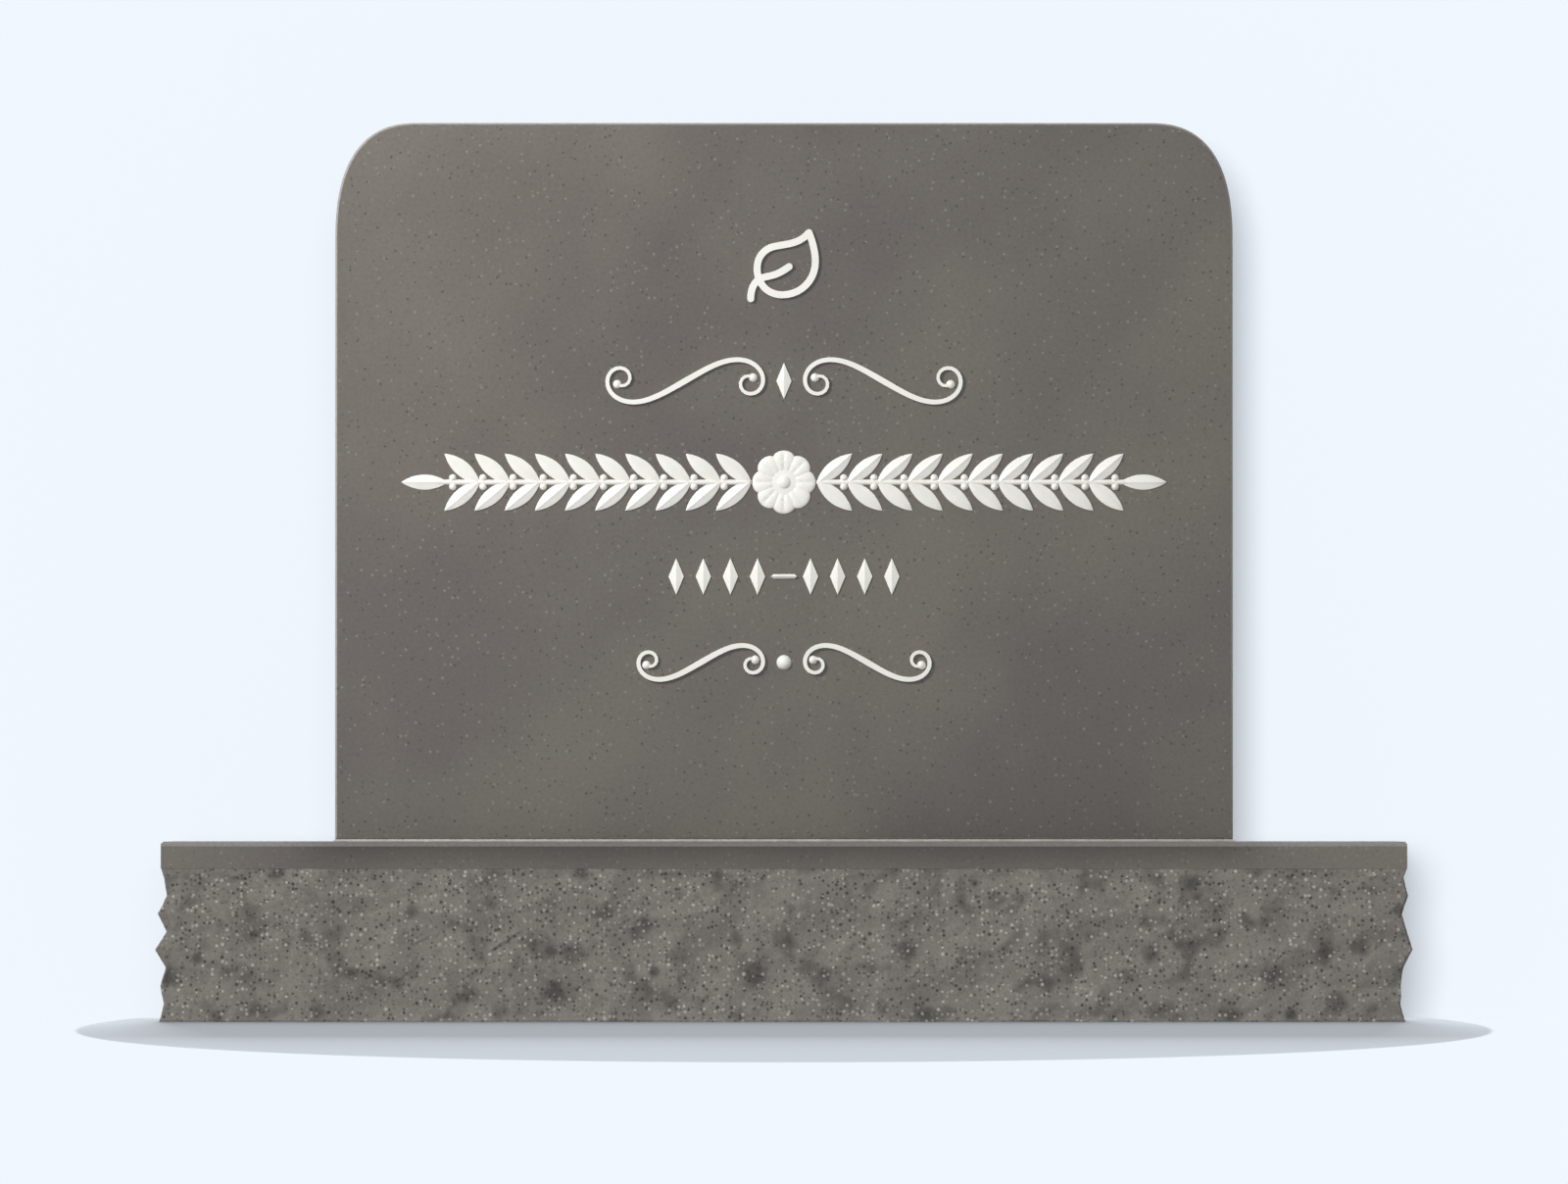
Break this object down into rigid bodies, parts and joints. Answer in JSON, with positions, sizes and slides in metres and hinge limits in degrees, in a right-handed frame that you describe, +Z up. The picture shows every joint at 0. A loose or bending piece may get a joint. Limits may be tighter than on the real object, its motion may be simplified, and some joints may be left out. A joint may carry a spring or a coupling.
{
  "type": "rounded top headstone on a rock pitched base",
  "caption": "Upright granite headstone: a slab tablet with rounded shoulders on a wider base with rock-pitched faces, and white raised leaf, scroll and garland ornaments.",
  "frame": {"origin": "middle of the base's foot, on the ground", "axes": "+X along the width, to the right as one faces the stone; the ornamented front faces -Y; +Z up"},
  "size_m": [1.064, 0.365, 0.7624],
  "materials": {
    "polished_granite": "polished",
    "pitched_granite": "rock-pitched faces under a polished top and margin",
    "setting_compound": "matte",
    "white_enamel": "white enamel on cast metal"
  },
  "bodies": {
    "root": {"base": "pitched_granite", "setting_bed": "setting_compound", "tablet": "polished_granite", "leaf_emblem": "white_enamel", "upper_scroll_left": "white_enamel", "upper_scroll_right": "white_enamel", "upper_lozenge": "white_enamel", "garland_left": "white_enamel", "garland_right": "white_enamel", "rosette": "white_enamel", "lozenges_left": "white_enamel", "lozenges_right": "white_enamel", "middle_bar": "white_enamel", "lower_scroll_left": "white_enamel", "lower_scroll_right": "white_enamel", "lower_bead": "white_enamel"}
  },
  "joints": []
}
